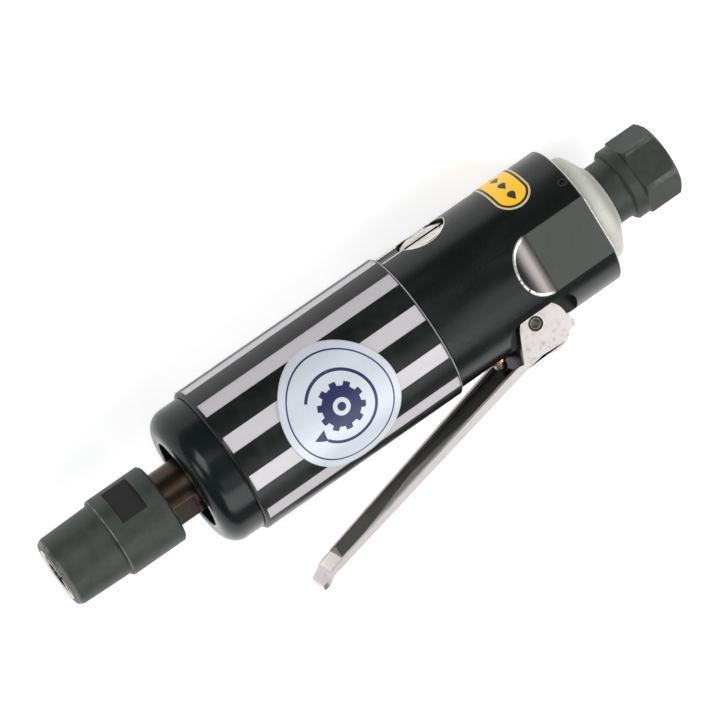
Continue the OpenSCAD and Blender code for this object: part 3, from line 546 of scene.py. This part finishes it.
# bare or rubbed edges: the nut's mouth and step, and the corners of the inlet's hexagon
mouth = phosphate.station.rise(0.9, 0.1) * phosphate.radius.rise(6.7, 6.3)
front_edge = phosphate.station.rise(1.3, 0.7) * phosphate.radius.rise(7.8, 8.1)
step_edge = phosphate.station.near(nut_step + 0.3, 0.35) * phosphate.radius.rise(9.7, 9.85)
hex_corner = phosphate.station.rise(159, 160) * phosphate.radius.rise(9.36, 9.5)
rubbed = front_edge * 0.2 + step_edge * 0.35 + hex_corner * 0.12
bare = (mouth + rubbed * phosphate.noise(2.5, 2.0).rise(0.25, 0.6)).math("MINIMUM", 1.0)
# painted shade: the slots' floors are coloured near black, darker than the rest of the nut
slot_turn = math.radians(37)
through_slots = abs(phosphate.z * math.sin(slot_turn) - phosphate.y * math.cos(slot_turn))
slot_floor_shade = (phosphate.station.within(17.55, 24.45, 0.1) * through_slots.rise(8.4, 8.45)
              * phosphate.radius.rise(9.87, 9.81))
handled = phosphate.mix(patches, (0.013, 0.019, 0.016), (0.026, 0.033, 0.026))
dusty = phosphate.mix(crystals.rise(0.3, 0.8), handled, (0.034, 0.042, 0.034))
shaded_slots = phosphate.mix(slot_floor_shade, dusty, (0.004, 0.005, 0.004))
phosphate.set("Base Color", phosphate.mix(bare, shaded_slots, (0.60, 0.58, 0.54)))
phosphate.set("Metallic", 0.1 + 0.85 * bare)
phosphate.set("Roughness", 0.44 + 0.16 * crystals - 0.14 * bare)
phosphate.bump(crystals + 0.7 * lathe_rings, 0.014)
fitted(nut, phosphate, "nut", "phosphated_steel", "collet_nut")

collet_steel = Finish("collet_steel", (0.10, 0.095, 0.09), 0.3, 1.0)
collet_steel.set("Roughness", 0.22 + 0.2 * collet_steel.noise(0.2, 3.0, (1, 10, 10)))
collet_steel.set("Base Color", collet_steel.mix(collet_steel.noise(1.2), (0.13, 0.12, 0.11),
                                                (0.06, 0.055, 0.05)))
paint(collet_steel, "collet")

# ---------- grip sleeve ----------
# An aluminium tube pushed over the housing, black anodised all over. The flutes and the
# rear chamfer were milled after the anodising, so they are bright.
grip_start = stations_of("grip_sleeve")[0]
sleeve_radius, flute_floor, flutes, first_flute = 18.4, 18.15, 11, 2
sleeve = spun("fluted_sleeve", [
    (16.81, grip_start), (sleeve_radius - 0.45, grip_start), (sleeve_radius, grip_start + 0.45),
    (sleeve_radius, grip_end - 0.45), (sleeve_radius - 0.45, grip_end), (16.81, grip_end),
    (16.81, grip_start)], 16 * flutes)
for k in range(flutes):
    flute = plate("flute", [(0.8 - grip_end, -2.1), (-1.2 - grip_start, -2.1),
                            (-1.2 - grip_start, 2.1), (0.8 - grip_end, 2.1)],
                  -20, -flute_floor, "Y")
    worked(sleeve, "DIFFERENCE", turned_about_axis(flute, first_flute + k * 360 / flutes))
softened(sleeve, 0.05, 1)

anodised = Finish("anodised_and_milled", (0.005, 0.005, 0.006), 0.35, Specular_IOR_Level=0.3)
# how far round the sleeve a place is from the middle of the nearest flute
round_sleeve = anodised.z.math("ARCTAN2", 0.0 - anodised.y) * sleeve_radius
flute_gap = math.tau * sleeve_radius / flutes
shift = math.radians(first_flute) * sleeve_radius
from_flute = abs((round_sleeve - shift).math("WRAP", flute_gap / 2, -flute_gap / 2))
floors = (from_flute.rise(2.14, 2.06)
          * anodised.station.within(grip_start + 1.05, grip_end - 0.65, 0.05))
rear_chamfer = anodised.station.rise(grip_end - 0.4, grip_end - 0.3)
milled = floors.larger(rear_chamfer * 0.8)
milling = anodised.noise(0.10, 3.0, (60, 1, 1))
passes = anodised.noise(0.5, 2.0, (1, 12, 12))
fingered = anodised.noise(6.0, 4.0).rise(0.42, 0.70)
black = anodised.mix(fingered, (0.004, 0.005, 0.0045), (0.008, 0.010, 0.008))
bright = anodised.mix(milling, (0.44, 0.42, 0.44), (0.60, 0.58, 0.60))
anodised.set("Base Color", anodised.mix(milled, black, bright))
anodised.set("Metallic", 0.35 * milled)
anodised.set("Roughness", 0.30 + 0.08 * fingered + milled * (0.18 + 0.10 * milling))
anodised.bump(milling * milled + 0.3 * passes * milled, 0.006)
fitted(sleeve, anodised, "body", "sleeve_black", "grip_sleeve")

# ---------- round label ----------
# A stuck-on disc of silver foil, printed in dark blue with a plain gear and an arrow for the
# way the spindle turns.
foil = Finish("printed_foil", (0.62, 0.66, 0.74), 0.35)
label_low, label_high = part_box("round_label")
label_x = (label_low.x + label_high.x) / 2 / MM
label_radius = (label_high.x - label_low.x) / 2 / MM
along = foil.x - label_x
out = (along * along + foil.y * foil.y).power(0.5)
turn = foil.y.math("ARCTAN2", along)
tooth = (turn * 10.0).math("SINE").rise(-0.25, 0.25)
gear = (out - tooth * 1.0).rise(4.75, 4.6) * out.rise(2.0, 2.15)
hub = out.rise(1.1, 0.95)
sweep = abs(turn)
arrow_band = (out - 8.2).near(0.0, 0.62).rise(0.3, 0.45) * sweep.rise(0.62, 0.66)
arrow_head = (abs(out - 8.2) + (turn - 0.34) * 5.2).rise(1.72, 1.60) * turn.within(0.34, 0.68, 0.01)
outer_ring = out.within(label_radius - 2.0, label_radius - 1.65, 0.04)
ink = gear.larger(hub).larger(arrow_band).larger(arrow_head).larger(outer_ring)
grain = foil.noise(0.18, 3.0, (1, 6, 1))
scuffed = foil.noise(0.5, 5.0).rise(0.66, 0.76)
silver = foil.mix(grain, (0.50, 0.53, 0.59), (0.60, 0.62, 0.68))
printed = foil.mix(ink * (1.0 - 0.5 * scuffed), silver, (0.010, 0.014, 0.075))
edge = out.rise(label_radius - 0.35, label_radius - 0.05)
foil.set("Base Color", foil.mix(edge * 0.5, printed, (0.45, 0.44, 0.42)))
foil.set("Roughness", 0.30 + 0.12 * grain)
foil.set("Metallic", 0.1 * (1.0 - ink))
foil.bump(grain + 1.5 * ink, 0.003)
paint(foil, "round_label")

# ---------- oil label ----------
# A yellow foil strip with round ends by the air inlet, outlined in black, with oil drops
# that say what to put in there.
oiled = Finish("printed_yellow_foil", (0.86, 0.42, 0.02), 0.35, Specular_IOR_Level=0.3)
strip_low, strip_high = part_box("oil_label")
strip_x = (strip_low.x + strip_high.x) / 2 / MM
strip_half = (strip_high.x - strip_low.x) / 2 / MM
straight = math.radians(44) * housing_radius - strip_half
across = oiled.x - strip_x
down = oiled.z.math("ARCTAN2", 0.0 - oiled.y) * housing_radius
beyond = (abs(down) - straight).larger(0.0)
inward = (across * across + beyond * beyond).power(0.5)
outline_band = inward.within(strip_half - 1.05, strip_half - 0.45, 0.04)
pale_line = inward.rise(strip_half - 0.42, strip_half - 0.30)
drops = oiled.x * 0.0
for place in (-9.0, -4.5, 0.0, 4.5, 9.0):
    height = down - place
    belly = (across * across + height * height).power(0.5).rise(1.05, 0.95)
    taper = (abs(across) * 0.887 + height * 0.462).rise(1.05, 0.95) * height.rise(0.35, 0.45)
    drops = drops.larger(belly).larger(taper)
faded = oiled.noise(2.5, 4.0)
yellow = oiled.mix(faded, (1.0, 0.56, 0.006), (0.95, 0.52, 0.012))
inked = oiled.mix(outline_band.larger(drops), yellow, (0.012, 0.012, 0.010))
oiled.set("Base Color", oiled.mix(pale_line, inked, (0.55, 0.50, 0.38)))
oiled.set("Roughness", 0.28 + 0.14 * oiled.noise(0.6, 3.0))
paint(oiled, "oil_label")

# ---------- throttle lever ----------
# Steel sheet, blanked and folded into a channel with an ear each side, then satin nickel
# plated. It swings on a pin through the housing and presses the throttle pin.
lever_low, lever_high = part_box("throttle_lever")
half_width, tip_half, ear_inside, sheet = lever_high.z / MM, 5.5, 6.0, 1.24
knee, curl, tip = (-114, 21.4), (-52.6, 35.7), (-48.4, 37.9)
plan = [(-135, -half_width), (-112, -half_width), (curl[0], -tip_half), (tip[0] - 2.5, -tip_half),
        *arc((tip[0] - 2.4, -tip_half + 3.0), 3.0, 290, 350, 5),
        *arc((tip[0] - 2.4, tip_half - 3.0), 3.0, 10, 70, 5), (tip[0] - 2.5, tip_half),
        (curl[0], tip_half), (-112, half_width), (-135, half_width)]
inner_tip = tip_half - 0.8 * (half_width - ear_inside) + 0.2
inside = [(-136, -ear_inside), (-112, -ear_inside), (curl[0] - 3, -inner_tip),
          (curl[0] - 3, inner_tip), (-112, ear_inside), (-136, ear_inside)]
back_line = [(-129.1, 19.1), knee, *arc((-53.9, 40.1), 4.6, 286, 316, 6), tip]
under_line = [(x - 0.25, y - sheet) for x, y in reversed(back_line)]
lever = plate("lever_channel", back_line + under_line, -9, 9)
worked(lever, "INTERSECT", plate("plan", plan, 5, 45, "Y"))
flanks = bar("flanks", 6.0, (-122.6, 15.7, -9), (-122.6, 15.7, 9), 64)
shank = [(-129.1, 19.1), (-129.1, 15.7), (-122.6, 15.7), (-117.1, 13.2), (-114.1, 20), (-113.2, 19.8),
         (-112.0, 19.85), (curl[0] - 3, 33.6), (curl[0] - 3, 34.6), knee]
worked(flanks, "UNION", plate("shank", shank, -9, 9))
worked(flanks, "INTERSECT", plate("plan", plan, 5, 45, "Y"))
worked(flanks, "DIFFERENCE", plate("inside", inside, 4, 46, "Y"))
worked(lever, "UNION", flanks)
worked(lever, "DIFFERENCE", bar("pivot_hole", 1.8, (pivot_x, pivot_y, -20), (pivot_x, pivot_y, 20)))
softened(lever, 0.22, 3, 20)

nickel = Finish("satin_nickel", (0.60, 0.55, 0.54), 0.3, 0.85)
brushing = nickel.noise(0.14, 3.0, (30, 4, 1))
blotches = nickel.noise(2.6, 5.0).rise(0.48, 0.76)
flecks = nickel.pits(1.6, 0.16)
grime = nickel.x.rise(-112.5, -117) * nickel.noise(1.2, 4.0).rise(0.5, 0.7)
plated = nickel.mix(blotches, (0.51, 0.475, 0.47), (0.45, 0.415, 0.40))
marked = nickel.mix((grime * 0.4).larger(flecks * 0.15), plated, (0.20, 0.16, 0.13))
# painted reflection and shade under the web, inside the channel, where the plating is also made less
# metallic: near black by the pivot, where it faces the black housing, and pale by the tip, where it faces
# the white floor
slope = (curl[1] - knee[1]) / (curl[0] - knee[0])
below_web = ((knee[1] - slope * knee[0] - 0.95) + slope * nickel.x - nickel.y).rise(0.0, 0.12)
inner = (abs(nickel.z) + 0.0275 * nickel.x).rise(2.9, 2.7)
toward_tip = nickel.x.rise(-116, -44)
underside_shading = nickel.mix(toward_tip.power(1.4), (0.010, 0.015, 0.010), (0.85, 0.82, 0.74))
nickel.set("Base Color", nickel.mix(below_web * inner, marked, underside_shading))
nickel.set("Metallic", 0.85 - 0.8 * below_web * inner)
nickel.set("Roughness", 0.26 + 0.14 * brushing + 0.10 * blotches)
nickel.bump(brushing - 1.0 * flecks, 0.006)
fitted(lever, nickel, "lever", "lever_nickel", "throttle_lever")

# The pivot pin is a plain dowel: its ground end is bright, and the chamfer round it is painted near black
# as shade.
dowel = Finish("dowel_pin", (0.5, 0.49, 0.46), 0.3, 1.0)
from_pivot_x, from_pivot_y = dowel.x - pivot_x, dowel.y - pivot_y
from_pivot = (from_pivot_x * from_pivot_x + from_pivot_y * from_pivot_y).power(0.5)
# painted shade: the ring of the chamfer is coloured near black
chamfer = from_pivot.rise(1.16, 1.24)
dowel.set("Base Color", dowel.mix(chamfer, (0.52, 0.50, 0.46), (0.03, 0.03, 0.028)))
dowel.set("Roughness", 0.28 + 0.2 * dowel.noise(0.3, 3.0))
paint(dowel, "pivot_pin")

# ---------- exhaust deflector ----------
# A light grey nylon moulding that turns on the inlet's neck to point the exhaust away. It
# has a steel washer under it, a felt ring to quiet the air, and a set screw in the rim.
drum_front, drum_rear = stations_of("exhaust_deflector")
drum, skirt, neck = 13.5, 13.38, 7.62
deflector = spun("deflector_moulding", [
    (skirt - 1.2, drum_front), (skirt, drum_front), (skirt, housing_rear + 0.1),
    (drum, housing_rear + 0.1), (drum, 146.9), (13.35, 147.4), (12.9, 148.0), (12.2, 148.5),
    (11.5, 148.9), (10.7, 149.35), (9.9, 149.75), (9.1, 150.15), (8.5, 150.55), (8.2, drum_rear),
    (neck, drum_rear), (neck, 149.2), (8.4, 148.5), (10.8, 147.9), (11.9, 147),
    (skirt - 1.2, 146), (skirt - 1.2, drum_front)])
for k in range(5):
    window = plate("window", [(-147.0, -1.6), (-144.8, -1.6), (-144.8, 1.6), (-147.0, 1.6)],
                   -20, -8, "Y")
    worked(deflector, "DIFFERENCE", turned_about_axis(window, -90 + (k - 2) * 26))
softened(deflector, 0.12)

moulded = Finish("grey_nylon", (0.50, 0.50, 0.46), 0.5, Specular_IOR_Level=0.35)
texture = moulded.noise(0.22, 3.0)
sooty = moulded.noise(2.2, 4.0).rise(0.5, 0.75)
seam_dirt = moulded.station.rise(145.2, 144.3).larger(moulded.radius.rise(8.6, 7.9))
dirt = (sooty * 0.25 + seam_dirt * 0.55).math("MINIMUM", 1.0)
moulded.set("Base Color", moulded.mix(dirt, (0.52, 0.52, 0.475), (0.30, 0.29, 0.26)))
moulded.set("Roughness", 0.42 + 0.14 * texture)
moulded.bump(texture, 0.02)
fitted(deflector, moulded, "deflector", "deflector_grey", "exhaust_deflector")
paint(phosphate, "deflector_screw")

# ---------- air inlet ----------
# Machined from hexagon bar and phosphated like the nut. It screws into the housing over
# an O-ring, and its rear end is tapped for a quarter-inch air fitting, above a brass screen.
inlet_front, inlet_rear = stations_of("inlet_bushing")
neck_end, hex_start, tapped_start = 155.5, 158.7, 155.2
neck_radius, collar_radius, tapped_radius = 7.55, 9.0, 5.7
inlet = spun("inlet_body", [
    (0, inlet_front), (6.4, inlet_front), (7, inlet_front + 0.6), (7, 129), (6, 129), (6, 131.2),
    (7, 131.2), (7, 147.8), (neck_radius, 147.8), (neck_radius, neck_end - 1.4),
    (neck_radius + 0.18, neck_end - 0.6), (neck_radius + 0.18, neck_end),
    (collar_radius - 0.5, neck_end), (collar_radius, neck_end + 0.5),
    (collar_radius, hex_start - 0.25), (collar_radius - 0.25, hex_start),
    (collar_radius - 0.9, hex_start), (collar_radius - 0.9, hex_start + 2), (0, hex_start + 2)])
hexagon = bar("hexagon", 8.5 / math.cos(math.radians(30)), (-inlet_rear, 0, 0),
              (0.1 - hex_start, 0, 0), 6)
hexagon.rotation_euler = (math.radians(-12), 0, 0)
choose(hexagon)
bpy.ops.object.transform_apply(location=False, rotation=True, scale=False)
worked(hexagon, "INTERSECT", spun("chamfers", [
    (0, 150), (8.75, 150), (8.75, hex_start), (9.55, hex_start + 0.5), (9.55, inlet_rear - 1),
    (8.1, inlet_rear), (0, inlet_rear)]))
worked(inlet, "UNION", hexagon)
worked(inlet, "DIFFERENCE", spun("bore", [
    (0, inlet_front - 1), (4, inlet_front - 1), (4, 154.6), (5.22, 154.6), (5.22, tapped_start),
    (tapped_radius, tapped_start), (tapped_radius, inlet_rear - 0.8), (6.9, inlet_rear + 0.4),
    (0, inlet_rear + 0.4)]))
softened(inlet, 0.13)
fitted(inlet, phosphate, "body", "phosphated_steel", "inlet_bushing")

# The pipe thread: one V-shaped ridge on a helix inside the bore, 18 turns to the inch.
pitch, crest = 25.4 / 18, 0.55
root = tapped_radius + 0.02
first = tapped_start + 0.9
ridge = traced("pipe_thread", [(-first * MM, 0, root * MM),
                               (-(first + 0.40 * pitch) * MM, 0, (root - crest) * MM),
                               (-(first + 0.55 * pitch) * MM, 0, (root - crest) * MM),
                               (-(first + 0.95 * pitch) * MM, 0, root * MM)])
bpy.ops.mesh.edge_face_add()
bpy.ops.object.mode_set(mode="OBJECT")
helix = ridge.modifiers.new("helix", "SCREW")
helix.axis, helix.screw_offset, helix.iterations = "X", -pitch * MM, 7
helix.steps = helix.render_steps = 48
helix.use_merge_vertices = False
choose(ridge)
bpy.ops.object.modifier_apply(modifier="helix")
bpy.ops.object.mode_set(mode="EDIT")
bpy.ops.mesh.select_all(action="SELECT")
bpy.ops.mesh.fill_holes(sides=4)
bpy.ops.mesh.normals_make_consistent(inside=False)
bpy.ops.object.mode_set(mode="OBJECT")
bpy.ops.object.shade_smooth_by_angle(angle=math.radians(30))
fitted(ridge, phosphate, "body", "phosphated_steel")
paint(brass, "inlet_screen")

# ---------- floor, lights and camera ----------
# The tool lies on a white light table under soft boxes, seen from above with a long lens.
floor = fresh("floor", bpy.ops.mesh.primitive_plane_add, size=6, location=(0, 0, cad_box[0].z))
paper = Finish("white_table", (0.85, 0.85, 0.85), 0.9, Emission_Color=(1, 1, 1, 1),
               Emission_Strength=0.45)
paper.bump(paper.noise(1.5, 3.0), 0.01)
paint(paper, floor)

middle = Vector((-0.084, 0, 0))


def soft_box(name, toward, distance, width, height, power):
    """A rectangular area light that faces the middle of the tool."""
    lamp = bpy.data.lights.new(name, "AREA")
    lamp.shape, lamp.size, lamp.size_y, lamp.energy = "RECTANGLE", width, height, power
    box = bpy.data.objects.new(name, lamp)
    bpy.context.scene.collection.objects.link(box)
    direction = Vector(toward).normalized()
    box.location = middle + direction * distance
    box.rotation_euler = direction.to_track_quat("Z", "Y").to_euler()


soft_box("key_light", (0.15, 0.80, 0.80), 1.0, 0.7, 0.6, 5.5)
soft_box("top_light", (-0.16, 0.28, 0.94), 0.9, 0.3, 0.3, 0.35)
soft_box("rear_light", (-0.60, 0.28, 0.75), 0.7, 0.28, 0.3, 2.2)
soft_box("nose_light", (1.0, -0.25, 0.45), 0.7, 0.2, 0.2, 0.6)
soft_box("fill_light", (0.3, -0.5, 0.8), 1.0, 0.6, 0.5, 5.5)

sky = bpy.data.worlds.new("studio")
sky.use_nodes = True
sky.node_tree.nodes["Background"].inputs["Color"].default_value = (0.94, 0.97, 1.0, 1)
sky.node_tree.nodes["Background"].inputs["Strength"].default_value = 0.15
bpy.context.scene.world = sky
bpy.context.scene.view_settings.view_transform = "Standard"

azimuth, elevation, roll = math.radians(29.6), math.radians(71.0), math.radians(116.98)
toward_camera = Vector((math.sin(azimuth) * math.cos(elevation),
                        -math.cos(azimuth) * math.cos(elevation), math.sin(elevation)))
lens = bpy.data.cameras.new("long_lens")
lens.lens, lens.clip_start, lens.clip_end = 265.7, 0.05, 20
camera = bpy.data.objects.new("camera", lens)
bpy.context.scene.collection.objects.link(camera)
facing = toward_camera.to_track_quat("Z", "Y").to_matrix().to_4x4()
aim = Vector((-0.0840, -0.0008, -0.00025))
camera.matrix_world = (Matrix.Translation(aim + toward_camera * 1.2) @ facing
                       @ Matrix.Rotation(roll, 4, "Z"))
bpy.context.scene.camera = camera
